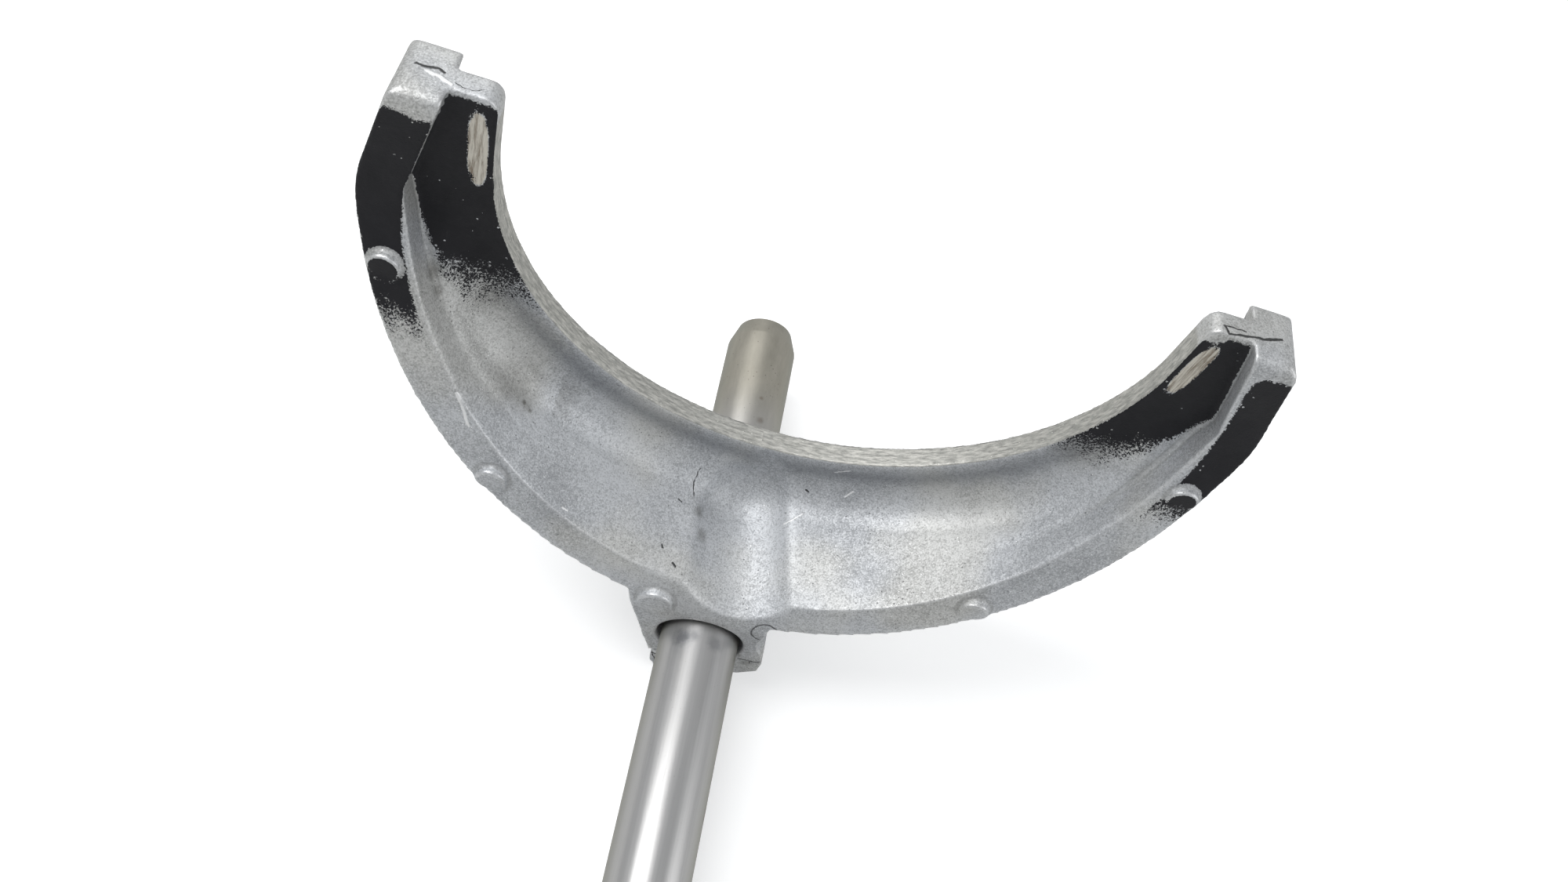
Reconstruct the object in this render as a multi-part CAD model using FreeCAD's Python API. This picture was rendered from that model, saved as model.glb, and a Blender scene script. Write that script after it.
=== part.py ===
"""Gearbox shift fork on its round shift rail, as four separate solids.

Millimetres. +Y runs back along the rail, +X right, +Z from the rail towards the fork's open mouth.
The origin is the centre of the fork's round seat, in the plane of the tongue's back face.
"""
import FreeCAD, Part
import math
import os

from FreeCAD import Vector

# fork seat and tongue
SEAT_RADIUS = 63.5
TONGUE_THICKNESS = 5.2
TIP_HEIGHT = 12.4
TONGUE_CORNER = 2.5

# flange wall around the outside of the tongue
WALL_OUTER_RADIUS = 86.8
WALL_FLOOR_RADIUS = 77.3
WALL_DRAFT = 0.1
TIP_WALL_STEP = 0.6
WALL_BACK = 4.6
TIP_OUTER_X = 80.5
TIP_CORNER = 2.2
TIP_INNER_X = 71.6
LEAN_START_Z = -9.5
BEND_START_Z = -17.0
BEND_MIDDLE = (85.6, -9.7)
BEND_END = (84.4, -3.2)

# front face of the flange wall: level at the tips, then sloping forward to the boss
TIP_FRONT = -9.5
TIP_ROUND = 2.4
TIP_BACK_ROUND = 1.8
SLOPE_START = (-9.5, 1.0)
SLOPE_BEND = (-10.5, -10.6)
SLOPE_RUN = (-13.6, -21.9)
BOSS_FRONT = -37.5
SLOPE_END_Z = -87.4

# channel floor
ROOT_FILLET = 9.0
FILLET_RUNOUT_Z = -16.0
FILLET_RUNOUT_SLOPE = 3.2

# boss and bore
RAIL_DROP = 99.0
BARREL_RADIUS = 13.7
BARREL_BACK = 12.0
BORE_RADIUS = 10.0
BORE_CHAMFER = 0.5
GUSSET_BACK = -2.0
LUG_BACK = -28.0
SCOOP_BACK_RADIUS = 12.5
SCOOP_X = -1.0
SCOOP_Z = -69.6
SCOOP_TURN = 7.3

# ejector pads: side, centre x and z, radius, top face
PADS = (
    (-79.2, -25.2, 3.2, -15.7),
    (79.2, -25.2, 3.2, -15.7),
    (-52.8, -65.2, 3.3, -30.4),
    (52.8, -65.2, 3.3, -30.4),
    (-13.0, -85.6, 4.0, -37.9),
)
PAD_ROOT = 6.0

# rail and its bushes
RAIL_RADIUS = 9.0
RAIL_BACK = 52.8
RAIL_LENGTH = 252.3
RAIL_CHAMFER_LENGTH = 5.5
RAIL_CHAMFER_DEPTH = 1.7
RING_GROOVE_RADIUS = 8.5
RING_GROOVE_WIDTH = 1.1
RING_GROOVE_OFFSET = 20.0
BUSH_CLEARANCE = 0.03
BUSH_LENGTH = 12.0
FRONT_BUSH_INSET = 8.0
REAR_BUSH_INSET = 2.0

FAR = 120.0


def at(x, z, y=0.0):
    """A point given across, up and along the rail."""
    return Vector(x, y, z)


def prism(edges, y_from, y_to):
    """Extrude a closed outline, drawn square to the rail, from one depth to another."""
    face = Part.Face(Part.Wire(edges))
    face.translate(Vector(0, y_from, 0))
    return face.extrude(Vector(0, y_to - y_from, 0))


def polygon(points):
    """Straight edges through the points and back to the first."""
    closed = list(points) + [points[0]]
    return [Part.makeLine(a, b) for a, b in zip(closed, closed[1:])]


def arc_through(start, middle, end):
    return Part.Arc(start, middle, end).toShape()


def lower_arc(radius, x, z):
    """The arc from (x, z) down through the bottom to (-x, z), on a circle about the origin."""
    return arc_through(at(x, z), at(0, -radius), at(-x, z))


def on_circle(radius, z):
    """Across from the centre line to a circle about the origin, at height z."""
    return math.sqrt(radius * radius - z * z)


def fork_outline():
    """The C: seat and straight arms inside, round back and leaning arms outside."""
    bend_x = on_circle(WALL_OUTER_RADIUS, BEND_START_Z)
    corner = TONGUE_CORNER
    inset = corner * (1 - math.sqrt(0.5))
    top = TIP_HEIGHT
    lean = TIP_CORNER * (BEND_END[0] - TIP_OUTER_X) / (top - BEND_END[1])
    cut = TIP_CORNER * 0.3
    edges = [lower_arc(WALL_OUTER_RADIUS, bend_x, BEND_START_Z)]
    edges.append(lower_arc(SEAT_RADIUS, SEAT_RADIUS, 0))
    for side in (-1, 1):
        seat_x = side * SEAT_RADIUS
        bend_end = at(side * BEND_END[0], BEND_END[1])
        edges += [
            arc_through(
                at(side * bend_x, BEND_START_Z),
                at(side * BEND_MIDDLE[0], BEND_MIDDLE[1]),
                bend_end,
            ),
            Part.makeLine(bend_end, at(side * (TIP_OUTER_X + lean), top - TIP_CORNER)),
            arc_through(
                at(side * (TIP_OUTER_X + lean), top - TIP_CORNER),
                at(side * (TIP_OUTER_X - cut), top - cut),
                at(side * (TIP_OUTER_X - TIP_CORNER), top),
            ),
            Part.makeLine(at(side * (TIP_OUTER_X - TIP_CORNER), top), at(seat_x + side * corner, top)),
            arc_through(
                at(seat_x + side * corner, top),
                at(seat_x + side * inset, top - inset),
                at(seat_x, top - corner),
            ),
            Part.makeLine(at(seat_x, top - corner), at(seat_x, 0)),
        ]
    return Part.__sortEdges__(edges)


def wall_inner_outline(radius, tip_x):
    """Region inside the flange wall: round below, leaning in along the arms, open far above."""
    x = on_circle(radius, LEAN_START_Z)
    lean = (x - tip_x) / (TIP_HEIGHT - LEAN_START_Z)
    high_z = 3 * TIP_HEIGHT
    high_x = tip_x - lean * (high_z - TIP_HEIGHT)
    return [
        lower_arc(radius, x, LEAN_START_Z),
        Part.makeLine(at(-x, LEAN_START_Z), at(-high_x, high_z)),
        Part.makeLine(at(-high_x, high_z), at(high_x, high_z)),
        Part.makeLine(at(high_x, high_z), at(x, LEAN_START_Z)),
    ]


def in_front():
    """Everything in front of the flange wall's front face."""
    z_round = TIP_HEIGHT - TIP_ROUND
    y_round = TIP_FRONT + TIP_ROUND
    half = TIP_ROUND * math.sqrt(0.5)
    points = [
        Vector(-FAR, y_round, FAR),
        Vector(-FAR, -FAR, FAR),
        Vector(-FAR, -FAR, -2 * FAR),
        Vector(-FAR, BOSS_FRONT, -2 * FAR),
        Vector(-FAR, BOSS_FRONT, SLOPE_END_Z),
        Vector(-FAR, *SLOPE_RUN),
    ]
    edges = [Part.makeLine(a, b) for a, b in zip(points, points[1:])]
    level_low = Vector(-FAR, *SLOPE_START)
    level_high = Vector(-FAR, TIP_FRONT, z_round)
    tip_corner = Vector(-FAR, y_round, TIP_HEIGHT)
    edges += [
        arc_through(points[-1], Vector(-FAR, *SLOPE_BEND), level_low),
        Part.makeLine(level_low, level_high),
        arc_through(level_high, Vector(-FAR, y_round - half, z_round + half), tip_corner),
        Part.makeLine(tip_corner, points[0]),
    ]
    return Part.Face(Part.Wire(edges)).extrude(Vector(2 * FAR, 0, 0))


def behind_tips():
    """What is rounded off the back edge of the tip ends."""
    half = TIP_BACK_ROUND * (1 - math.sqrt(0.5))
    y, z = WALL_BACK, TIP_HEIGHT
    start = Vector(-FAR, y, z - TIP_BACK_ROUND)
    end = Vector(-FAR, y - TIP_BACK_ROUND, z)
    outside = [Vector(-FAR, end.y, z + 1), Vector(-FAR, y + 1, z + 1), Vector(-FAR, y + 1, start.z)]
    corners = [end] + outside + [start]
    edges = [arc_through(start, Vector(-FAR, y - half, z - half), end)]
    edges += [Part.makeLine(a, b) for a, b in zip(corners, corners[1:])]
    return Part.Face(Part.Wire(edges)).extrude(Vector(2 * FAR, 0, 0))


def round_pocket(wall):
    """A pocket cut from the front: flat floor, large root fillet and drafted round wall."""
    floor = -TONGUE_THICKNESS
    bend = ROOT_FILLET
    front_wall = wall + WALL_DRAFT * FAR
    half = bend * math.sqrt(0.5)
    edges = [
        Part.makeLine(Vector(0, floor, 0), Vector(wall - bend, floor, 0)),
        arc_through(
            Vector(wall - bend, floor, 0),
            Vector(wall - bend + half, floor - bend + half, 0),
            Vector(wall, floor - bend, 0),
        ),
        Part.makeLine(Vector(wall, floor - bend, 0), Vector(front_wall, floor - FAR, 0)),
        Part.makeLine(Vector(front_wall, floor - FAR, 0), Vector(0, floor - FAR, 0)),
        Part.makeLine(Vector(0, floor - FAR, 0), Vector(0, floor, 0)),
    ]
    return Part.Face(Part.Wire(edges)).revolve(Vector(0, 0, 0), Vector(0, 1, 0), 360)


def channel_round():
    """The round part of the channel, below the arms' tips."""
    below = Part.makeBox(2 * FAR, 2 * FAR, FAR, Vector(-FAR, -2 * FAR, LEAN_START_Z - 1.5 - FAR))
    return round_pocket(WALL_FLOOR_RADIUS).common(below)


def channel_tips():
    """The sharp-cornered channel along the arms; its sloping lower end runs the fillet out."""
    floor = -TONGUE_THICKNESS
    pocket = prism(wall_inner_outline(WALL_FLOOR_RADIUS + TIP_WALL_STEP, TIP_INNER_X), floor, -FAR)
    reach = ROOT_FILLET + TIP_WALL_STEP / WALL_DRAFT
    low = FILLET_RUNOUT_Z - FILLET_RUNOUT_SLOPE * reach
    points = [
        Vector(-FAR, 0, FILLET_RUNOUT_Z),
        Vector(-FAR, floor, FILLET_RUNOUT_Z),
        Vector(-FAR, floor - reach, low),
        Vector(-FAR, -FAR, low),
        Vector(-FAR, -FAR, FAR),
        Vector(-FAR, 0, FAR),
    ]
    above = Part.Face(Part.Wire(polygon(points))).extrude(Vector(2 * FAR, 0, 0))
    return pocket.common(above)


def rail_cylinder(radius, y_from, y_to):
    """A cylinder on the rail's axis."""
    return Part.makeCylinder(radius, y_to - y_from, at(0, -RAIL_DROP, y_from), Vector(0, 1, 0))


def rail_cone(radius_from, radius_to, y_from, y_to):
    """A cone on the rail's axis."""
    base = at(0, -RAIL_DROP, y_from)
    return Part.makeCone(radius_from, radius_to, y_to - y_from, base, Vector(0, 1, 0))


def gusset():
    """The plate between wall and barrel: tangent to the barrel on the left, hollowed on the right."""
    points = [at(-20.0, -83.2), at(-10.0, -111.3), at(0, -105), at(12.4, -94.6), at(13.4, -86), at(16, -83)]
    return prism(polygon(points), BOSS_FRONT, GUSSET_BACK)


def foot_lug():
    """The slanting lug cast under the front end of the barrel."""
    points = [
        at(-9.2, -112.5),
        at(-8.8, -117.0),
        at(-6.8, -120.4),
        at(12.0, -112.2),
        at(16.0, -108.4),
        at(16.2, -104.0),
        at(15.4, -99.8),
        at(13.6, -96.2),
        at(10.0, -99.0),
    ]
    return prism(polygon(points), BOSS_FRONT, LUG_BACK)


def scoop():
    """The round hollow over the bore, a smaller pocket turned a little to the right."""
    cut = round_pocket(SCOOP_BACK_RADIUS)
    cut.rotate(Vector(0, 0, 0), Vector(0, 0, 1), SCOOP_TURN)
    cut.translate(at(SCOOP_X, SCOOP_Z))
    return cut


def ejector_pads():
    """Round pads left by the ejector pins, standing on the front face."""
    return [
        Part.makeCylinder(radius, PAD_ROOT, at(x, z, top), Vector(0, 1, 0))
        for x, z, radius, top in PADS
    ]


def fork_casting():
    """The aluminium fork: tongue, flange wall, boss barrel and bored seat for the bushes."""
    blank = prism(fork_outline(), WALL_BACK, BOSS_FRONT)
    back_hollow = prism(wall_inner_outline(WALL_FLOOR_RADIUS, TIP_INNER_X), 0, FAR)
    blank = blank.cut(back_hollow)
    blank = blank.cut(channel_round().fuse(channel_tips())).cut(behind_tips())
    boss = rail_cylinder(BARREL_RADIUS, BOSS_FRONT, BARREL_BACK)
    seat_hole = Part.makeCylinder(SEAT_RADIUS + 4, FAR, at(0, 0, -FAR / 2), Vector(0, 1, 0))
    boss = boss.multiFuse([gusset(), foot_lug()]).cut(seat_hole)
    body = blank.fuse(boss).cut(in_front()).cut(scoop())
    body = body.multiFuse(ejector_pads())
    mouth = BORE_RADIUS + BORE_CHAMFER
    cuts = [
        rail_cylinder(BORE_RADIUS, BOSS_FRONT - 1, BARREL_BACK + 1),
        rail_cone(mouth, BORE_RADIUS, BOSS_FRONT, BOSS_FRONT + BORE_CHAMFER),
        rail_cone(BORE_RADIUS, mouth, BARREL_BACK - BORE_CHAMFER, BARREL_BACK),
    ]
    for cut in cuts:
        body = body.cut(cut)
    return body


def bush(y_from):
    """A plain wrapped bearing bush, pressed into the boss."""
    shell = rail_cylinder(BORE_RADIUS, y_from, y_from + BUSH_LENGTH)
    hole = rail_cylinder(RAIL_RADIUS + BUSH_CLEARANCE, y_from - 1, y_from + BUSH_LENGTH + 1)
    return shell.cut(hole)


def shift_rail():
    """The ground steel rail with long lead chamfers and one retaining-ring groove."""
    front = RAIL_BACK - RAIL_LENGTH
    tip = RAIL_RADIUS - RAIL_CHAMFER_DEPTH
    body_from = front + RAIL_CHAMFER_LENGTH
    body_to = RAIL_BACK - RAIL_CHAMFER_LENGTH
    body = rail_cylinder(RAIL_RADIUS, body_from, body_to)
    ends = [rail_cone(tip, RAIL_RADIUS, front, body_from), rail_cone(RAIL_RADIUS, tip, body_to, RAIL_BACK)]
    body = body.multiFuse(ends)
    groove_from = front + RING_GROOVE_OFFSET
    groove_to = groove_from + RING_GROOVE_WIDTH
    ring = rail_cylinder(RAIL_RADIUS + 1, groove_from, groove_to)
    ring = ring.cut(rail_cylinder(RING_GROOVE_RADIUS, groove_from, groove_to))
    return body.cut(ring)


def save(name, shape):
    """Write one solid to its STEP file, and stop if it isn't one good solid."""
    solids = shape.Solids
    if len(solids) != 1 or not solids[0].isValid():
        raise RuntimeError(f"{name}: {len(solids)} solids, valid {[s.isValid() for s in solids]}")
    solids[0].exportStep(f"parts/{name}.step")
    box = solids[0].BoundBox
    print(f"{name}: {solids[0].Volume / 1000:.1f} cm3, x {box.XMin:.1f} {box.XMax:.1f},",
          f"y {box.YMin:.1f} {box.YMax:.1f}, z {box.ZMin:.1f} {box.ZMax:.1f}")


def main():
    os.makedirs("parts", exist_ok=True)
    save("fork_casting", fork_casting())
    save("front_bush", bush(BOSS_FRONT + FRONT_BUSH_INSET))
    save("rear_bush", bush(BARREL_BACK - REAR_BUSH_INSET - BUSH_LENGTH))
    save("shift_rail", shift_rail())


main()
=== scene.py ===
"""Looks of a gearbox shift fork on its rail: cast skin, coating, rail, bushes, light and camera."""
import math

import bmesh
import bpy
import numpy as np
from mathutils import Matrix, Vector


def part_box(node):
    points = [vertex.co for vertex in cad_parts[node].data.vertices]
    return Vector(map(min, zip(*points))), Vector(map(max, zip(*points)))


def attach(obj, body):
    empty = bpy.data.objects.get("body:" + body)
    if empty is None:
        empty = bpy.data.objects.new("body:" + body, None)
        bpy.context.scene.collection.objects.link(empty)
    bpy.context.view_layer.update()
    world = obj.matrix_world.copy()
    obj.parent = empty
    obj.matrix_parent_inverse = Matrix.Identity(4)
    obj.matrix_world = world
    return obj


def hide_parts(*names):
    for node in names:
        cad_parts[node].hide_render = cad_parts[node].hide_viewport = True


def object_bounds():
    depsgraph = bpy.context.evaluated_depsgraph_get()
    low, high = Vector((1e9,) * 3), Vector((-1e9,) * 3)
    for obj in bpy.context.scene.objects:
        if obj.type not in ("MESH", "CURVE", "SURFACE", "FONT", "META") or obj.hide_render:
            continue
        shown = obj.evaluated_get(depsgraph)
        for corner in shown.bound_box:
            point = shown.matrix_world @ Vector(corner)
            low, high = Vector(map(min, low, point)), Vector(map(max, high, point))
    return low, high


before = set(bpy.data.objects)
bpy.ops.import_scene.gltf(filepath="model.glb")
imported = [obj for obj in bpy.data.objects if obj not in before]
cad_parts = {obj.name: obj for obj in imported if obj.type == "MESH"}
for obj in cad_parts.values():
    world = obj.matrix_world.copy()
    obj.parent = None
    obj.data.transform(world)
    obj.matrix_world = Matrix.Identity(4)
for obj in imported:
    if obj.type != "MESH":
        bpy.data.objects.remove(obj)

MM = 0.001
cad_low, cad_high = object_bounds()

# lengths below are in millimetres
SEAT_RADIUS = 63.5
ARM_START = 45.0                       # how far from the middle the arms' own finish begins
ARM_PAD_ACROSS, ARM_PAD_DOWN = 79.2, 25.2  # the ejector pad on each arm's wall
FLUSH_PAD, FLUSH_PAD_RADIUS = (12.7, -37.5, -87.2), 3.1
END_DROP = 1.7                         # how much smaller in radius the rail's ends are
END_STEPS = (5.2, 5.8)                 # where the rail's end taper turns into its full round
GROOVE_FROM_END, GROOVE_DEPTH = 20.0, 0.5
CENTRE_HOLE_INSET, CENTRE_HOLE_DEPTH = 4.6, 2.2
RAIL_SPANS = 24

# lengths below are in metres
SKIN_CELL = 0.0005
JOIN_WITHIN = 0.000004
CAST_WAVE_SIZE, CAST_WAVE_HEIGHT = 0.012, 0.00022
FLOOR_GAP = 0.0002


# ---------------------------------------------------------------- hand tools

def pick_nothing():
    """Lets go of everything, so the next tool only works on the new piece."""
    if bpy.context.object and bpy.context.object.mode != "OBJECT":
        bpy.ops.object.mode_set(mode="OBJECT")
    bpy.ops.object.select_all(action="DESELECT")


def pick(piece):
    pick_nothing()
    piece.select_set(True)
    bpy.context.view_layer.objects.active = piece
    return piece


def settle(piece):
    """Puts a finished piece's place into its mesh, as the frame's own nodes have it."""
    pick(piece)
    bpy.ops.object.transform_apply(location=True, rotation=True, scale=True)
    return piece


def add_and_apply(piece, kind, **settings):
    pick(piece)
    modifier = piece.modifiers.new(kind.lower(), kind)
    for name, value in settings.items():
        setattr(modifier, name, value)
    bpy.ops.object.modifier_apply(modifier=modifier.name)


def choose_faces(piece, wanted):
    """In edit mode, picks the faces for which wanted(place, normal) is true."""
    bpy.ops.mesh.select_all(action="DESELECT")
    bpy.ops.mesh.select_mode(type="FACE")
    shell = bmesh.from_edit_mesh(piece.data)
    for face in shell.faces:
        face.select = bool(wanted(face.calc_center_median(), face.normal))
    shell.select_flush_mode()
    bmesh.update_edit_mesh(piece.data)


# ---------------------------------------------------------------- shader tools

def node(tree, kind, feeds=None, **settings):
    """Adds a node, sets it up and connects or fills its sockets."""
    item = tree.nodes.new(kind)
    for name, value in settings.items():
        setattr(item, name, value)
    for name, value in (feeds or {}).items():
        socket = item.inputs[name]
        if isinstance(value, bpy.types.NodeSocket):
            tree.links.new(value, socket)
        else:
            socket.default_value = value
    return item


def maths(tree, operation, first, second=0.0, clamp=False):
    feeds = {0: first, 1: second}
    return node(tree, "ShaderNodeMath", feeds, operation=operation, use_clamp=clamp).outputs[0]


def plus(tree, first, second):
    return maths(tree, "ADD", first, second)


def minus(tree, first, second):
    return maths(tree, "SUBTRACT", first, second)


def times(tree, first, second):
    return maths(tree, "MULTIPLY", first, second)


def step(tree, value, low, high, to_low=0.0, to_high=1.0):
    return node(
        tree, "ShaderNodeMapRange",
        {"Value": value, "From Min": low, "From Max": high, "To Min": to_low, "To Max": to_high},
        interpolation_type="SMOOTHSTEP",
    ).outputs["Result"]


def blend_colour(tree, factor, first, second):
    feeds = {0: factor, 6: first, 7: second}
    return node(tree, "ShaderNodeMix", feeds, data_type="RGBA", blend_type="MIX").outputs[2]


def noise(tree, place, scale, detail=3.0, rough=0.55, **more):
    feeds = {"Vector": place, "Scale": scale, "Detail": detail, "Roughness": rough}
    feeds.update(more)
    return node(tree, "ShaderNodeTexNoise", feeds).outputs["Fac"]


def cells(tree, place, scale):
    feeds = {"Vector": place, "Scale": scale, "Randomness": 1.0}
    return node(tree, "ShaderNodeTexVoronoi", feeds, feature="F1")


def in_millimetres(tree, stretch=(1.0, 1.0, 1.0)):
    place = node(tree, "ShaderNodeTexCoord").outputs["Object"]
    size = tuple(1000.0 * part for part in stretch)
    return node(tree, "ShaderNodeMapping", {"Vector": place, "Scale": size}).outputs["Vector"]


def scaled(tree, place, size):
    return node(tree, "ShaderNodeVectorMath", {0: place, "Scale": size}, operation="SCALE").outputs[0]


def painted(tree, name):
    return node(tree, "ShaderNodeAttribute", attribute_name=name).outputs["Fac"]


def new_group(name, inputs, outputs):
    tree = bpy.data.node_groups.new(name, "ShaderNodeTree")
    for label, kind, value in inputs:
        socket = tree.interface.new_socket(label, in_out="INPUT", socket_type=kind)
        if value is not None:
            socket.default_value = value
    for label, kind in outputs:
        tree.interface.new_socket(label, in_out="OUTPUT", socket_type=kind)
    return tree, tree.nodes.new("NodeGroupInput"), tree.nodes.new("NodeGroupOutput")


def place_group(tree, group, feeds):
    item = tree.nodes.new("ShaderNodeGroup")
    item.node_tree = group
    for name, value in feeds.items():
        socket = item.inputs[name]
        if isinstance(value, bpy.types.NodeSocket):
            tree.links.new(value, socket)
        else:
            socket.default_value = value
    return item


def new_finish(name):
    finish = bpy.data.materials.new(name)
    finish.use_nodes = True
    tree = finish.node_tree
    tree.nodes.clear()
    shader = tree.nodes.new("ShaderNodeBsdfPrincipled")
    output = tree.nodes.new("ShaderNodeOutputMaterial")
    tree.links.new(shader.outputs[0], output.inputs[0])
    return finish, tree, shader


# ---------------------------------------------------------------- shared effects

def make_cast_grain():
    """Die-cast skin: cloudy tone, small dark pits, bright glints and a fine uneven height."""
    tree, given, out = new_group(
        "cast_grain",
        [("Place", "NodeSocketVector", None), ("Size", "NodeSocketFloat", 1.0)],
        [("Tone", "NodeSocketFloat"), ("Pits", "NodeSocketFloat"), ("Glints", "NodeSocketFloat"),
         ("Height", "NodeSocketFloat")],
    )
    place = scaled(tree, given.outputs["Place"], given.outputs["Size"])
    clouds = noise(tree, place, 0.055, 4.0, 0.6)
    mottle = noise(tree, place, 0.95, 4.0, 0.75)
    fine = noise(tree, place, 2.6, 3.0, 0.7)
    tone = plus(tree, times(tree, clouds, 0.25),
                plus(tree, times(tree, mottle, 0.25), times(tree, fine, 0.5)))
    pit_cells = cells(tree, place, 0.8).outputs["Distance"]
    pit_gate = step(tree, noise(tree, place, 0.12, 2.0), 0.42, 0.6)
    pits = times(tree, step(tree, pit_cells, 0.06, 0.18, 1.0, 0.0), pit_gate)
    glint_cells = cells(tree, place, 0.95)
    glint_gate = step(tree, glint_cells.outputs["Color"], 0.5, 0.6)
    glints = times(tree, step(tree, glint_cells.outputs["Distance"], 0.06, 0.15, 1.0, 0.0), glint_gate)
    height = plus(tree, times(tree, mottle, 0.55), times(tree, fine, 0.45))
    height = minus(tree, height, times(tree, pits, 0.5))
    for label, value in (("Tone", tone), ("Pits", pits), ("Glints", glints), ("Height", height)):
        tree.links.new(value, out.inputs[label])
    return tree


def make_sprayed_cover():
    """Where a sprayed coating lies: solid at full coverage, specks where it thins, with small chips."""
    tree, given, out = new_group(
        "sprayed_cover",
        [("Place", "NodeSocketVector", None), ("Coverage", "NodeSocketFloat", 1.0),
         ("Chips", "NodeSocketFloat", 0.5)],
        [("Cover", "NodeSocketFloat")],
    )
    place = given.outputs["Place"]
    specks = step(tree, noise(tree, place, 2.3, 3.0, 0.8), 0.3, 0.7)
    rag = times(tree, minus(tree, noise(tree, place, 0.35, 3.0, 0.7), 0.5), 0.9)
    depth = plus(tree, minus(tree, given.outputs["Coverage"], specks), rag)
    spots = cells(tree, place, 0.5).outputs["Distance"]
    rough = plus(tree, spots, times(tree, noise(tree, place, 2.4, 2.0), 0.16))
    where = step(tree, noise(tree, place, 0.11, 2.0), 0.42, 0.54)
    chips = times(tree, step(tree, rough, 0.16, 0.23, 1.0, 0.0), where)
    depth = minus(tree, depth, times(tree, chips, times(tree, given.outputs["Chips"], 3.0)))
    tree.links.new(step(tree, depth, -0.05, 0.05), out.inputs["Cover"])
    return tree


def make_drawn_lines():
    """Fine straight tool lines and light scratches along one direction."""
    tree, given, out = new_group(
        "drawn_lines",
        [("Place", "NodeSocketVector", None), ("Fineness", "NodeSocketFloat", 1.0)],
        [("Lines", "NodeSocketFloat"), ("Scratches", "NodeSocketFloat")],
    )
    place = scaled(tree, given.outputs["Place"], given.outputs["Fineness"])
    lines = noise(tree, place, 1.0, 4.0, 0.7)
    cuts = noise(tree, place, 2.6, 2.0, 0.5)
    tree.links.new(lines, out.inputs["Lines"])
    tree.links.new(step(tree, cuts, 0.66, 0.74), out.inputs["Scratches"])
    return tree


def make_fine_line():
    """A scratch, crack or nick: a thin ragged line from one place to another."""
    tree, given, out = new_group(
        "fine_line",
        [("Place", "NodeSocketVector", None), ("From", "NodeSocketVector", None),
         ("To", "NodeSocketVector", None), ("Width", "NodeSocketFloat", 0.3),
         ("Before", "NodeSocketFloat", 0.0)],
        [("Line", "NodeSocketFloat")],
    )

    def vector(operation, first, second, output=0):
        feeds = {0: first, ("Scale" if operation == "SCALE" else 1): second}
        return node(tree, "ShaderNodeVectorMath", feeds, operation=operation).outputs[output]

    run = vector("SUBTRACT", given.outputs["To"], given.outputs["From"])
    reach = vector("SUBTRACT", given.outputs["Place"], given.outputs["From"])
    along = maths(tree, "DIVIDE", vector("DOT_PRODUCT", reach, run, 1),
                  vector("DOT_PRODUCT", run, run, 1), clamp=True)
    apart = vector("DISTANCE", reach, vector("SCALE", run, along), 1)
    near = maths(tree, "DIVIDE", apart, given.outputs["Width"])
    line = maths(tree, "MAXIMUM", step(tree, near, 0.35, 1.0, 1.0, 0.0), given.outputs["Before"])
    tree.links.new(line, out.inputs["Line"])
    return tree


def make_soft_spot():
    """A soft dark spot with a cloudy edge around one place, used for stains and for painted shade."""
    tree, given, out = new_group(
        "soft_spot",
        [("Place", "NodeSocketVector", None), ("Centre", "NodeSocketVector", None),
         ("Size", "NodeSocketFloat", 5.0), ("Strength", "NodeSocketFloat", 1.0),
         ("Before", "NodeSocketFloat", 0.0), ("Cloud", "NodeSocketFloat", 0.5)],
        [("Spot", "NodeSocketFloat")],
    )
    apart = node(tree, "ShaderNodeVectorMath", {0: given.outputs["Place"], 1: given.outputs["Centre"]},
                 operation="DISTANCE").outputs["Value"]
    near = maths(tree, "DIVIDE", apart, given.outputs["Size"])
    ragged = plus(tree, near, times(tree, given.outputs["Cloud"], 0.9))
    spot_mask = times(tree, step(tree, ragged, 0.55, 1.35, 1.0, 0.0), given.outputs["Strength"])
    tree.links.new(maths(tree, "MAXIMUM", spot_mask, given.outputs["Before"]), out.inputs["Spot"])
    return tree


cast_grain = make_cast_grain()
sprayed_cover = make_sprayed_cover()
drawn_lines = make_drawn_lines()
fine_line = make_fine_line()
soft_spot = make_soft_spot()


def lines_through(tree, place, chains):
    """Thin lines along several chains of places, each given as (width, places)."""
    total = 0.0
    for width, corners in chains:
        for start, end in zip(corners, corners[1:]):
            feeds = {"Place": place, "From": start, "To": end, "Width": width, "Before": total}
            total = place_group(tree, fine_line, feeds).outputs["Line"]
    return total


def spots_at(tree, place, spots):
    """Cloudy dark spots, for stains and for painted shade, each given as (strength, size, centre)."""
    total = 0.0
    cloud = noise(tree, place, 0.35, 4.0, 0.7)
    for strength, size, centre in spots:
        feeds = {"Place": place, "Centre": centre, "Size": size, "Strength": strength, "Before": total,
                 "Cloud": cloud}
        total = place_group(tree, soft_spot, feeds).outputs["Spot"]
    return total


# ---------------------------------------------------------------- finishes

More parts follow.
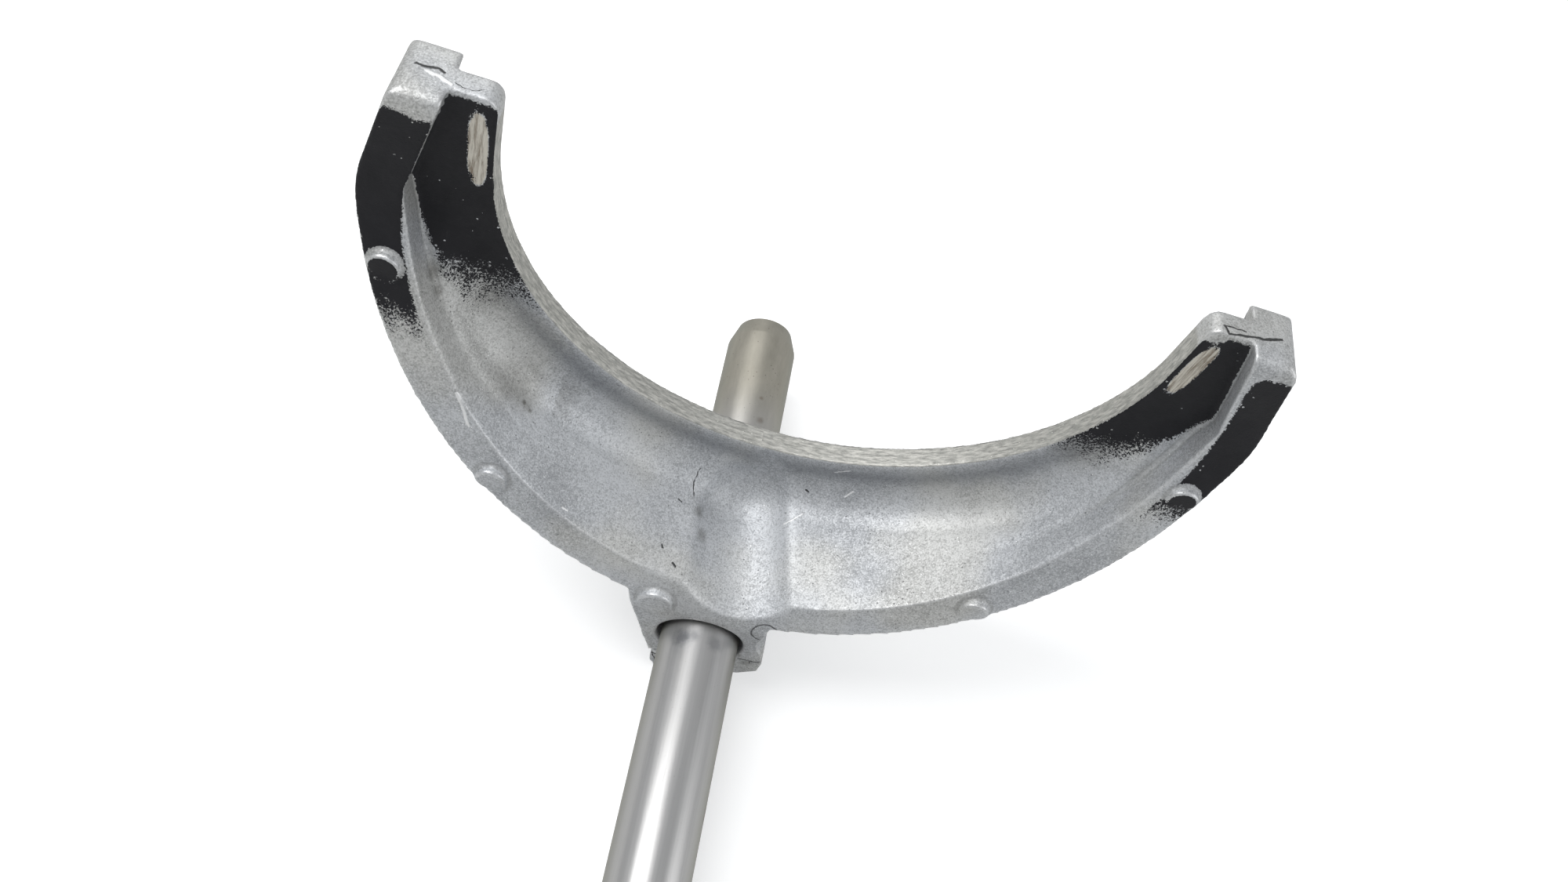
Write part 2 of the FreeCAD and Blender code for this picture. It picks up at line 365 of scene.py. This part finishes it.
ARM_CRACKS = (
    (0.45, ((-78.0, -1.7, 12.4), (-76.2, -1.9, 12.4), (-74.4, -1.5, 12.4), (-73.3, -1.9, 12.4))),
    (0.12, ((-71.4, -3.3, 12.4), (-69.8, -4.0, 12.4), (-67.9, -4.0, 12.4), (-66.5, -3.0, 12.4))),
    (0.4, ((65.9, -3.4, 12.4), (66.8, -4.9, 12.4), (69.9, -4.3, 12.4), (71.6, -4.0, 12.4),
           (73.9, -3.7, 12.4), (77.2, -2.5, 12.4))),
    (0.22, ((66.2, -3.4, 12.4), (70.1, -3.3, 12.4))),
)
ARM_SCRATCHES = (
    (0.5, ((-62.6, -22.8, -47.8), (-61.0, -23.7, -50.6), (-59.2, -25.5, -54.3))),
    (0.5, ((-76.0, -2.7, 12.4), (-73.9, -3.1, 12.4), (-71.6, -4.1, 12.4))),
)
ARM_STAINS = (
    (0.8, 1.1, (-50.7, -14.0, -58.3)), (0.7, 1.0, (-49.3, -14.7, -59.5)),
    (0.4, 2.6, (-50.1, -14.3, -58.8)), (0.35, 11.0, (-54.0, -12.0, -55.5)),
    (0.5, 3.2, (-72.0, -9.6, -29.4)),
    (0.4, 2.2, (-70.7, -11.4, -33.0)), (0.3, 9.0, (60.0, -5.4, -31.5)),
    (0.25, 6.0, (-62.0, -7.0, -37.0)),
)
BODY_CRACKS = (
    (0.2, ((-9.3, -6.2, -71.6), (-11.0, -8.5, -74.4), (-11.5, -11.0, -75.9), (-10.7, -13.9, -76.6))),
    (0.25, ((-13.9, -16.0, -76.2), (-12.9, -16.4, -76.4))),
    (0.35, ((-15.0, -27.4, -77.2), (-14.6, -28.0, -77.4))),
    (0.4, ((-11.7, -30.6, -78.2), (-11.0, -31.2, -78.4))),
    (0.35, ((13.4, -7.0, -72.6), (14.1, -7.2, -72.7))),
    (0.35, ((10.4, -37.5, -103.4), (14.3, -37.5, -103.0), (16.0, -37.5, -101.8))),
    (0.3, ((12.6, -37.5, -102.6), (13.4, -37.5, -104.2))),
    (0.3, ((-7.6, -37.5, -113.0), (-8.9, -37.5, -112.4), (-7.4, -37.5, -116.2))),
)
BODY_SCRATCHES = (
    (0.3, ((10.7, -14.2, -77.6), (12.4, -13.1, -76.2), (14.2, -11.6, -75.6))),
    (0.25, ((11.6, -12.8, -76.0), (14.2, -10.4, -74.6))),
    (0.3, ((22.2, -7.2, -70.8), (23.4, -6.3, -69.0))),
    (0.25, ((17.2, -5.2, -65.6), (20.8, -5.2, -62.8))),
    (0.35, ((-37.4, -29.2, -69.5), (-36.4, -29.3, -70.2))),
)
BODY_DARK_SPOTS = (
    (0.35, 11.0, (-54.0, -12.0, -55.5)), (0.3, 8.0, (-45.0, -9.0, -60.0)),
    # these two spots darken the scoop's left edge along its length
    (0.5, 2.2, (-8.8, -16.8, -78.0)), (0.4, 2.8, (-6.9, -21.5, -79.8)),
    (0.35, 2.6, (12.5, -37.5, -104.6)), (0.5, 1.4, (10.0, -37.5, -101.8)),
)


def make_cast_finish(name, cracked, scratched, dark_spots, coated):
    """Bare die-cast aluminium and its machined seat; on the arms, with the black coating over it."""
    finish, tree, shader = new_finish(name)
    place = in_millimetres(tree)
    grain = place_group(tree, cast_grain, {"Place": place, "Size": 1.0})
    tone = grain.outputs["Tone"]
    warmth = step(tree, noise(tree, place, 0.03, 2.0), 0.42, 0.6)
    dull = blend_colour(tree, warmth, (0.37, 0.38, 0.395, 1), (0.38, 0.38, 0.37, 1))
    clean = blend_colour(tree, warmth, (0.66, 0.675, 0.695, 1), (0.67, 0.672, 0.66, 1))
    bare = blend_colour(tree, step(tree, tone, 0.37, 0.59), dull, clean)
    edge = painted(tree, "edge")
    # painted highlight: convex edges of the bare metal are lightened towards a pale grey
    edge_highlight = step(tree, plus(tree, edge, times(tree, tone, 0.1)), 0.16, 0.34)
    # painted shade: concave creases and inner corners are darkened
    hollow = step(tree, edge, -0.03, -0.12, 0.0, 1.0)
    bare = blend_colour(tree, times(tree, edge_highlight, 0.25), bare, (0.78, 0.78, 0.78, 1))
    bare = blend_colour(tree, times(tree, hollow, 0.35), bare, (0.25, 0.25, 0.24, 1))
    bare = blend_colour(tree, times(tree, grain.outputs["Pits"], 0.65), bare, (0.10, 0.10, 0.10, 1))
    # painted glints: tiny cells of the bare metal are lightened to near white
    bare = blend_colour(tree, times(tree, grain.outputs["Glints"], 0.8), bare, (0.96, 0.96, 0.97, 1))
    wobble = node(
        tree, "ShaderNodeTexNoise", {"Vector": place, "Scale": 0.8, "Detail": 2.0}).outputs["Color"]
    ragged = node(tree, "ShaderNodeVectorMath", {0: wobble, 1: (0.6, 0.6, 0.6), 2: place},
                  operation="MULTIPLY_ADD").outputs[0]
    ragged = node(tree, "ShaderNodeVectorMath", {0: ragged, 1: (0.3, 0.3, 0.3)},
                  operation="SUBTRACT").outputs[0]
    bare = blend_colour(tree, spots_at(tree, place, dark_spots), bare, (0.12, 0.115, 0.10, 1))
    # painted shade: a darker bluish strip on the channel's floor next to the seat's lip
    bare = blend_colour(tree, times(tree, painted(tree, "shade_band"), 0.5), bare, (0.22, 0.23, 0.25, 1))
    bright = lines_through(tree, ragged, scratched)
    bare = blend_colour(tree, times(tree, bright, 0.8), bare, (0.95, 0.95, 0.95, 1))

    parts = node(tree, "ShaderNodeSeparateXYZ", {"Vector": place})
    turn = node(tree, "ShaderNodeMath", {0: parts.outputs["X"], 1: parts.outputs["Z"]},
                operation="ARCTAN2").outputs[0]
    around = node(tree, "ShaderNodeCombineXYZ", {"X": times(tree, turn, 24.0),
                                                 "Y": times(tree, parts.outputs["Y"], 1.6)}).outputs[0]
    tooling = place_group(tree, drawn_lines, {"Place": around, "Fineness": 1.0}).outputs["Lines"]
    turned = blend_colour(
        tree, step(tree, tooling, 0.3, 0.7), (0.32, 0.32, 0.30, 1), (0.66, 0.65, 0.61, 1))
    # painted glints on the machined seat
    turned = blend_colour(tree, times(tree, grain.outputs["Glints"], 0.7), turned, (0.95, 0.95, 0.9, 1))
    seat = step(tree, painted(tree, "seat"), 0.4, 0.6)
    colour = blend_colour(tree, seat, bare, turned)

    height = plus(tree, grain.outputs["Height"],
                  times(tree, times(tree, tooling, seat), 1.6))
    rough = step(tree, tone, 0.36, 0.64, 0.64, 0.53)
    rough = minus(tree, rough, times(tree, maths(tree, "MAXIMUM", grain.outputs["Glints"], edge_highlight), 0.16))
    if coated:
        rub = painted(tree, "rubbed")
        streaks = noise(tree, in_millimetres(tree, (1.0, 1.0, 0.09)), 1.7, 4.0, 0.7)
        brushed = blend_colour(
            tree, step(tree, streaks, 0.3, 0.62), (0.27, 0.22, 0.17, 1), (0.72, 0.69, 0.62, 1))
        colour = blend_colour(tree, step(tree, rub, -0.15, 0.05), colour, brushed)
        worn = times(tree, step(tree, edge, 0.16, 0.5), 0.7)
        coverage = minus(tree, painted(tree, "coating"), worn)
        coverage = minus(tree, coverage, times(tree, step(tree, streaks, 0.45, 0.6), step(
            tree, rub, -0.25, 0.0)))
        cover = place_group(tree, sprayed_cover, {"Place": place, "Coverage": coverage, "Chips": 0.6})
        cover = cover.outputs["Cover"]
        black = blend_colour(tree, noise(tree, place, 0.22, 4.0, 0.65), (0.006, 0.006, 0.008, 1),
                             (0.020, 0.020, 0.023, 1))
        colour = blend_colour(tree, cover, colour, black)
        tree.links.new(step(tree, cover, 0.0, 1.0, 0.85, 0.0), shader.inputs["Metallic"])
        rough = node(tree, "ShaderNodeMix", {0: cover, 2: rough, 3: 0.55}).outputs[0]
        height = plus(tree, height, times(tree, cover, 0.12))
    else:
        shader.inputs["Metallic"].default_value = 0.85
    cracks = lines_through(tree, ragged, cracked)
    if not coated:
        centre = node(tree, "ShaderNodeVectorMath", {0: ragged, 1: FLUSH_PAD},
                      operation="DISTANCE").outputs["Value"]
        from_ring = maths(tree, "ABSOLUTE", minus(tree, centre, FLUSH_PAD_RADIUS))
        ring = step(tree, from_ring, 0.08, 0.3, 1.0, 0.0)
        cracks = maths(tree, "MAXIMUM", cracks, times(tree, ring, 0.8))
    colour = blend_colour(tree, times(tree, cracks, 0.9), colour, (0.03, 0.03, 0.03, 1))
    height = minus(tree, height, times(tree, cracks, 1.2))
    height = plus(tree, height, times(tree, bright, 0.6))
    tree.links.new(colour, shader.inputs["Base Color"])
    tree.links.new(rough, shader.inputs["Roughness"])
    shader.inputs["Specular IOR Level"].default_value = 0.22
    bump = node(tree, "ShaderNodeBump", {"Height": height, "Strength": 0.5, "Distance": 0.00022})
    tree.links.new(bump.outputs[0], shader.inputs["Normal"])
    return finish


def make_rail_finish():
    """Ground steel, polished along its length, duller with a warm tarnish at its back end."""
    finish, tree, shader = new_finish("ground_steel_rail")
    place = in_millimetres(tree)
    along = in_millimetres(tree, (1.0, 0.012, 1.0))
    lines = place_group(tree, drawn_lines, {"Place": along, "Fineness": 1.6})
    y = node(tree, "ShaderNodeSeparateXYZ", {"Vector": place}).outputs["Y"]
    back = step(tree, y, 6.0, 34.0)
    colour = blend_colour(tree, lines.outputs["Lines"], (0.47, 0.465, 0.46, 1), (0.60, 0.595, 0.59, 1))
    tarnish = blend_colour(tree, noise(tree, in_millimetres(tree, (1.0, 0.3, 1.0)), 0.3, 5.0, 0.7),
                           (0.30, 0.285, 0.24, 1), (0.56, 0.53, 0.46, 1))
    colour = blend_colour(tree, back, colour, tarnish)
    # painted reflection: the rail turns a darker olive grey towards its silhouette edges, standing in for
    # dark surroundings reflected there
    turned_away = tree.nodes.new("ShaderNodeLayerWeight")
    turned_away.inputs["Blend"].default_value = 0.5
    side = step(tree, turned_away.outputs["Facing"], 0.35, 0.95)
    colour = blend_colour(tree, side, colour, (0.33, 0.325, 0.28, 1))
    # painted shade: the top of the rail just in front of the bore mouth, under the boss, is darkened
    # bluish grey
    mouth_shade = spots_at(tree, place, ((0.75, 3.6, (-4.6, -41.0, -91.3)), (0.5, 2.4, (-2.4, -40.4, -90.3)),
                                    (0.45, 3.0, (2.6, -41.0, -90.4))))
    colour = blend_colour(tree, mouth_shade, colour, (0.12, 0.125, 0.14, 1))
    rust = spots_at(tree, place, ((0.85, 3.2, (8.8, -68.0, -99.5)), (0.7, 4.0, (8.7, -76.0, -98.0)),
                                   (0.4, 1.0, (1.5, 26.5, -90.1)), (0.4, 1.6, (2.4, 20.0, -90.3))))
    colour = blend_colour(tree, rust, colour, (0.11, 0.065, 0.035, 1))
    pocks = place_group(tree, cast_grain, {"Place": place, "Size": 1.1}).outputs["Pits"]
    pocks = times(tree, pocks, plus(tree, times(tree, back, 0.6), 0.12))
    colour = blend_colour(tree, pocks, colour, (0.10, 0.09, 0.08, 1))
    tree.links.new(colour, shader.inputs["Base Color"])
    shader.inputs["Metallic"].default_value = 1.0
    rough = node(tree, "ShaderNodeMix", {0: back, 2: 0.25, 3: 0.42}).outputs[0]
    rough = plus(tree, rough, times(tree, lines.outputs["Lines"], 0.12))
    rough = plus(tree, rough, times(tree, maths(tree, "MAXIMUM", rust, mouth_shade), 0.3))
    tree.links.new(rough, shader.inputs["Roughness"])
    height = plus(tree, lines.outputs["Lines"], times(tree, lines.outputs["Scratches"], -0.6))
    height = minus(tree, height, times(tree, pocks, 1.5))
    bump = node(tree, "ShaderNodeBump", {"Height": height, "Strength": 0.25, "Distance": 0.00006})
    tree.links.new(bump.outputs[0], shader.inputs["Normal"])
    return finish


def make_bush_finish():
    """Oil-darkened sintered bronze."""
    finish, tree, shader = new_finish("bush_bronze")
    place = in_millimetres(tree)
    pores = noise(tree, place, 1.4, 4.0, 0.7)
    colour = blend_colour(
        tree, step(tree, pores, 0.35, 0.65), (0.16, 0.10, 0.05, 1), (0.42, 0.28, 0.15, 1))
    tree.links.new(colour, shader.inputs["Base Color"])
    shader.inputs["Metallic"].default_value = 0.9
    tree.links.new(step(tree, pores, 0.3, 0.7, 0.5, 0.34), shader.inputs["Roughness"])
    bump = node(tree, "ShaderNodeBump", {"Height": pores, "Strength": 0.3, "Distance": 0.0001})
    tree.links.new(bump.outputs[0], shader.inputs["Normal"])
    return finish


# ---------------------------------------------------------------- the casting

def ramp(value, low, high):
    return np.clip((value - low) / (high - low), 0.0, 1.0)


def places_of(mesh):
    place = np.empty(len(mesh.vertices) * 3)
    mesh.vertices.foreach_get("co", place)
    return place.reshape(-1, 3) / MM


def soften_hollows(skin):
    """Rounds the hollow over the bore, the channel's run-outs and the worn lip of the seat."""
    x, y, z = places_of(skin.data).T
    radius = np.hypot(x, z)
    inside = ramp(y, -36.5, -34.0) * ramp(-y, 5.0, 7.0)
    hollow = ramp(-np.hypot(x, (z + 72.0) * 0.75), -21.0, -16.0) * inside
    run_out = ramp(-np.abs(np.abs(x) - 62.0), -12.0, -7.0) * ramp(-np.abs(z + 38.0), -22.0, -12.0)
    run_out = run_out * inside * ramp(-radius, -78.6, -78.0) * ramp(radius, 65.5, 67.0)
    lip = ramp(-radius, -66.5, -65.0) * ramp(-y, 2.6, 4.0) * ramp(-z, 8.0, 24.0)
    for name, weight, passes in (("hollow", hollow, 60), ("run_out", run_out, 20), ("lip", lip, 10)):
        group = skin.vertex_groups.new(name=name)
        tenths = np.round(weight * 10).astype(int)
        for tenth in range(1, 11):
            group.add(np.flatnonzero(tenths == tenth).tolist(), tenth / 10, "REPLACE")
        add_and_apply(skin, "SMOOTH", factor=0.5, iterations=passes, vertex_group=name)


def make_casting():
    """The casting's skin: its CAD shape joined up, rebuilt evenly and softened like a cast surface."""
    shape = bpy.data.objects.new("fork_shape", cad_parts["fork_casting"].data.copy())
    bpy.context.scene.collection.objects.link(shape)
    pick(shape)
    bpy.ops.object.mode_set(mode="EDIT")
    bpy.ops.mesh.select_all(action="SELECT")
    bpy.ops.mesh.remove_doubles(threshold=JOIN_WITHIN)
    bpy.ops.mesh.customdata_custom_splitnormals_clear()
    bpy.ops.object.mode_set(mode="OBJECT")
    skin = bpy.data.objects.new("fork_skin", shape.data.copy())
    bpy.context.scene.collection.objects.link(skin)
    skin.data.materials.clear()
    add_and_apply(skin, "REMESH", mode="VOXEL", voxel_size=SKIN_CELL)
    add_and_apply(skin, "SMOOTH", factor=0.5, iterations=3)
    add_and_apply(skin, "SHRINKWRAP", target=shape, wrap_method="NEAREST_SURFACEPOINT")
    add_and_apply(skin, "SMOOTH", factor=0.5, iterations=4)
    soften_hollows(skin)
    waves = bpy.data.textures.new("cast_waves", "CLOUDS")
    waves.noise_scale = CAST_WAVE_SIZE
    waves.noise_depth = 3
    add_and_apply(
        skin, "DISPLACE", texture=waves, texture_coords="LOCAL", strength=CAST_WAVE_HEIGHT, mid_level=0.8)
    add_and_apply(skin, "DECIMATE", ratio=0.5)
    bpy.data.objects.remove(shape)
    pick(skin)
    bpy.ops.object.shade_smooth()
    return skin


def left_of(x, z, chain):
    """Signed distance, in millimetres, to a chain of points running in +X: positive above it."""
    points = np.array(chain, float)
    height = np.interp(x, points[:, 0], points[:, 1])
    slope = np.gradient(points[:, 1], points[:, 0])
    return (z - height) / np.sqrt(1.0 + np.interp(x, points[:, 0], slope) ** 2)


def paint_casting(skin):
    """Writes the masks of the coating, rubbed patches, machined seat, a strip of painted shade, and the
    surface's bend (for worn edges and for painted edge highlights and crease shade).
    """
    mesh = skin.data
    count = len(mesh.vertices)
    place = places_of(mesh)
    x, y, z = place.T
    facing = np.empty(count * 3)
    mesh.vertex_normals.foreach_get("vector", facing)
    facing = facing.reshape(-1, 3)
    nx, ny, nz = facing.T
    radius = np.hypot(x, z)
    across = np.abs(x)
    inward = -(nx * x + nz * z) / np.maximum(radius, 1.0)
    outward = -inward
    left = x < 0

    # the machined seat faces the clutch sleeve
    seat = np.minimum((inward - 0.6) * 4.0, (SEAT_RADIUS + 0.5 - radius) * 2.0) + 0.5

    # coating on the front face of the flange wall
    front_top = np.where(left, np.interp(across, [72.6, 73.6, 75.5, 78.1], [8.7, 8.1, 7.6, 8.5]),
                         np.maximum(np.minimum(8.8, 8.8 - 2.0 * (76.0 - across)), 5.4))
    end_left = (z + 35.5) / 8.0
    end_right = (z + 29.5) / 7.0
    front_end = np.where(left, end_left, end_right)
    inner_right = np.interp(z, [-22.8, -18.5, -13.6, -6.0, 2.9], [79.8, 79.6, 79.0, 77.6, 75.3])
    inner_left = np.interp(z, [-30.0, -18.8, -12.5, -9.0, -7.0], [79.3, 79.1, 78.1, 77.4, 60.0])
    bare_lip = (radius - np.where(left, inner_left, inner_right)) / 0.6
    faces_front = np.where(left, -ny - 0.5, np.minimum(-ny - 0.02, 0.8 - outward)) * 5.0
    wall = np.minimum.reduce([
        (front_top - z) / 0.9, front_end, faces_front, bare_lip,
        (np.where(left, -8.3, -7.5) - y) / 0.6, (1.0 - (radius - 86.2) / 0.6)])

    # coating on the arms' floors, over their sloping run-outs and, at the tips, up the wall's foot
    low_left = left_of(x, z, [(-79, -14.0), (-74.5, -20.3), (-72.2, -25.3), (-69.8, -27.5),
                              (-65.9, -29.6), (-60.1, -29.6), (-56.6, -29.0)])
    low_right = left_of(x, z, [(56.0, -27.3), (58.4, -27.1), (61.6, -26.7), (65.3, -25.0),
                               (71.4, -20.8), (74.3, -17.7), (76.0, -13.2), (78.5, -6.0)])
    soft = 1.2 + np.where(left, ramp(x, -72.0, -66.0) * 12.0, ramp(-x, -73.0, -66.0) * 9.0)
    low = np.where(left, low_left, low_right) / soft + 0.1 + 0.25 * ramp(-across, -73.0, -66.0)
    knob = np.where(left, 11.3, np.where(across < 66.8, 9.2, 11.2))
    sheer = np.where(left & (z > -9.3), 0.25, 0.66)
    floor = np.minimum.reduce([
        low, (knob - z) / 0.9, (-ny - sheer) * 5.0, (y + 9.3) / 0.8,
        (radius - SEAT_RADIUS + 0.1) / 0.3])
    corner_left = np.minimum((5.8 - z) / 0.9, (z + 9.6) / 0.9)
    foot = np.minimum.reduce([np.where(left, corner_left, -1.0), (y + 9.2) / 0.6, (-ny - 0.2) * 5.0,
                              (across - 70.0) / 1.0])
    reach = np.where((across > 71.6) & (y < -5.6) & (z > -9.3), foot, floor)
    arms = np.minimum((across - ARM_START) / 2.0, 3.0)

    # the rubbed patches, on the front face of the tongue only
    tilt = 0.04 * (z - 1.0)
    sides = np.abs((across - np.where(left, 66.35, 66.4) - tilt) / np.where(left, 1.7, 1.6))
    rubbed = 1.0 - (sides ** 2.5 + (np.abs(z - 0.6) / np.where(left, 8.3, 7.5)) ** 3.0) ** 0.4
    rubbed = np.where((y > -7.0) & (ny < -0.3), rubbed * 2.0, -2.0)
    # the upper ring and the side of each arm's ejector pad stand bare
    from_pad = np.hypot(across - ARM_PAD_ACROSS, z + ARM_PAD_DOWN)
    ring = np.minimum(1.0 - np.abs(from_pad - 3.2) / 0.5, ramp(z, -27.0, -24.0) - 0.2)
    ring = np.maximum(ring, np.where(from_pad < 4.2, (0.75 + ny) * 4.0, -1.0))
    coating = np.minimum(np.minimum(np.maximum(wall, reach), arms) + 0.5, 0.5 - rubbed * 1.6)
    coating = np.minimum(coating, 0.5 - np.where(y < -10.0, ring, -1.0) * 2.0)

    # convex edges, found from how far each place stands out from its neighbours
    ends = np.empty(len(mesh.edges) * 2, dtype=np.int64)
    mesh.edges.foreach_get("vertices", ends)
    first, second = ends.reshape(-1, 2).T
    run = place[second] - place[first]
    length = np.maximum(np.linalg.norm(run, axis=1), 1e-4)
    bend = np.zeros(count)
    weight = np.zeros(count)
    np.add.at(bend, first, -(run * facing[first]).sum(1) / length)
    np.add.at(bend, second, (run * facing[second]).sum(1) / length)
    np.add.at(weight, first, length)
    np.add.at(weight, second, length)
    edge = bend / np.maximum(weight, 1e-4)
    for _ in range(2):
        total = np.zeros(count)
        number = np.zeros(count)
        np.add.at(total, first, edge[second])
        np.add.at(total, second, edge[first])
        np.add.at(number, first, 1)
        np.add.at(number, second, 1)
        edge = (edge + total / np.maximum(number, 1)) / 2

    # painted shade: the channel's floor darkened in a strip next to the seat's lip
    shade_band = np.exp(-((radius - 68.2) / 2.6) ** 2) * ramp(-z, 22.0, 45.0) * ramp(-y, 4.6, 5.1)

    layers = {"shade_band": shade_band, "coating": np.clip(coating, -3, 3), "seat": np.clip(seat, -1, 2),
              "edge": edge, "rubbed": np.clip(rubbed, -1, 1)}
    for name, values in layers.items():
        layer = mesh.attributes.new(name, "FLOAT", "POINT")
        layer.data.foreach_set("value", values.astype(np.float32))


# ---------------------------------------------------------------- the rail

def make_rail():
    """The round rail: a disc drawn out along its length, with its end chamfers and ring groove."""
    low, high = (Vector(corner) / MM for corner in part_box("shift_rail"))
    centre_z = (low.z + high.z) / 2
    full = (high.x - low.x) / 2
    pick_nothing()
    bpy.ops.mesh.primitive_circle_add(
        vertices=128, radius=full * MM, fill_type="NGON",
        location=(0, low.y * MM, centre_z * MM), rotation=(math.radians(90), 0, 0))
    rail = bpy.context.object
    rail.name = "rail_bar"
    settle(rail)
    bpy.ops.object.mode_set(mode="EDIT")
    bpy.ops.mesh.select_all(action="SELECT")

    def draw_out(to_y, to_radius, now):
        bpy.ops.mesh.extrude_region_move(
            TRANSFORM_OT_translate={"value": (0, (to_y - now[0]) * MM, 0)})
        ratio = to_radius / now[1]
        bpy.ops.transform.resize(value=(ratio, 1, ratio), center_override=(0, to_y * MM, centre_z * MM))
        return to_y, to_radius

    start_radius = full - END_DROP
    bpy.ops.transform.resize(
        value=(start_radius / full, 1, start_radius / full),
        center_override=(0, low.y * MM, centre_z * MM))
    now = (low.y, start_radius)
    ring = low.y + GROOVE_FROM_END
    taper, full_from = END_STEPS
    steps = [
        (low.y + taper, full - 0.1), (low.y + full_from, full), (ring - 0.15, full), (ring, full - 0.15),
        (ring + 0.05, full - GROOVE_DEPTH), (ring + 1.05, full - GROOVE_DEPTH), (ring + 1.1, full - 0.15),
        (ring + 1.25, full),
    ]
    for index in range(1, RAIL_SPANS + 1):
        steps.append((ring + 1.25 + (high.y - full_from - ring - 1.25) * index / RAIL_SPANS, full))
    steps += [(high.y - taper, full - 0.1), (high.y, full - END_DROP)]
    for to_y, to_radius in steps:
        now = draw_out(to_y, to_radius, now)
    # a shallow centre hole in each end
    for end, way in ((low.y, 1.0), (high.y, -1.0)):
        choose_faces(rail, lambda where, face: abs(where.y / MM - end) < 0.01 and abs(face.y) > 0.9)
        depth = way * CENTRE_HOLE_DEPTH
        bpy.ops.mesh.inset(thickness=CENTRE_HOLE_INSET * MM)
        bpy.ops.mesh.extrude_region_move(TRANSFORM_OT_translate={"value": (0, depth * MM, 0)})
        bpy.ops.transform.resize(
            value=(0.25, 1, 0.25), center_override=(0, (end + depth) * MM, centre_z * MM))
    bpy.ops.mesh.select_all(action="SELECT")
    bpy.ops.mesh.normals_make_consistent(inside=False)
    bpy.ops.object.mode_set(mode="OBJECT")
    pick(rail)
    bpy.ops.object.shade_smooth_by_angle(angle=math.radians(32))
    return rail


# ---------------------------------------------------------------- stage

def make_stage():
    pick_nothing()
    bpy.ops.mesh.primitive_plane_add(size=6.0, location=(0, 0, cad_low.z - FLOOR_GAP))
    floor = bpy.context.object
    floor.name = "pale_floor"
    settle(floor)
    finish, tree, shader = new_finish("pale_board")
    seen = tree.nodes.new("ShaderNodeLightPath").outputs["Is Camera Ray"]
    shade = blend_colour(tree, seen, (0.70, 0.70, 0.69, 1), (0.93, 0.93, 0.93, 1))
    tree.links.new(shade, shader.inputs["Base Color"])
    shader.inputs["Emission Color"].default_value = (1.0, 1.0, 1.0, 1)
    tree.links.new(times(tree, seen, 0.32), shader.inputs["Emission Strength"])
    shader.inputs["Roughness"].default_value = 0.85
    floor.data.materials.append(finish)


def add_soft_light(name, place, aim, size, power):
    lamp = bpy.data.lights.new(name, "AREA")
    lamp.shape = "RECTANGLE"
    lamp.size, lamp.size_y = size
    lamp.energy = power
    holder = bpy.data.objects.new(name, lamp)
    bpy.context.scene.collection.objects.link(holder)
    holder.location = place
    holder.rotation_euler = (Vector(aim) - Vector(place)).to_track_quat("-Z", "Y").to_euler()


def make_light():
    world = bpy.data.worlds.new("studio")
    bpy.context.scene.world = world
    world.use_nodes = True
    sky = world.node_tree.nodes["Background"]
    sky.inputs["Color"].default_value = (0.96, 0.98, 1.0, 1)
    sky.inputs["Strength"].default_value = 0.54
    middle = (0.0, -0.02, -0.06)
    add_soft_light("key_panel", (-0.45, -0.05, 0.75), middle, (0.42, 0.65), 4.4)
    add_soft_light("rear_panel", (-0.5, 0.75, 0.7), middle, (0.8, 0.5), 1.7)
    add_soft_light("side_panel", (0.75, -0.15, 0.35), middle, (0.5, 0.5), 1.4)
    bpy.context.scene.view_settings.view_transform = "Standard"


def make_camera():
    view = bpy.data.cameras.new("camera")
    view.sensor_width = 36.0
    view.lens = 27.9
    view.clip_start = 0.01
    holder = bpy.data.objects.new("camera", view)
    bpy.context.scene.collection.objects.link(holder)
    holder.location = (-0.03116, -0.15013, 0.15820)
    holder.rotation_euler = [math.radians(turn) for turn in (31.437, -15.067, 9.3795)]
    bpy.context.scene.camera = holder


make_camera()
make_stage()
make_light()

casting = make_casting()
paint_casting(casting)
casting.data.materials.append(make_cast_finish(
    "cast_aluminium_arms", ARM_CRACKS, ARM_SCRATCHES, ARM_STAINS, coated=True))
casting.data.materials.append(make_cast_finish(
    "cast_aluminium_body", BODY_CRACKS, BODY_SCRATCHES, BODY_DARK_SPOTS, coated=False))
for face in casting.data.polygons:
    face.material_index = 0 if abs(face.center.x) > ARM_START * MM else 1
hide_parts("fork_casting")
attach(casting, "fork")

rail_bar = make_rail()
rail_bar.data.materials.append(make_rail_finish())
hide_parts("shift_rail")
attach(rail_bar, "rail")

bush_finish = make_bush_finish()
for bush in ("front_bush", "rear_bush"):
    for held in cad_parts[bush].material_slots:
        held.material = bush_finish
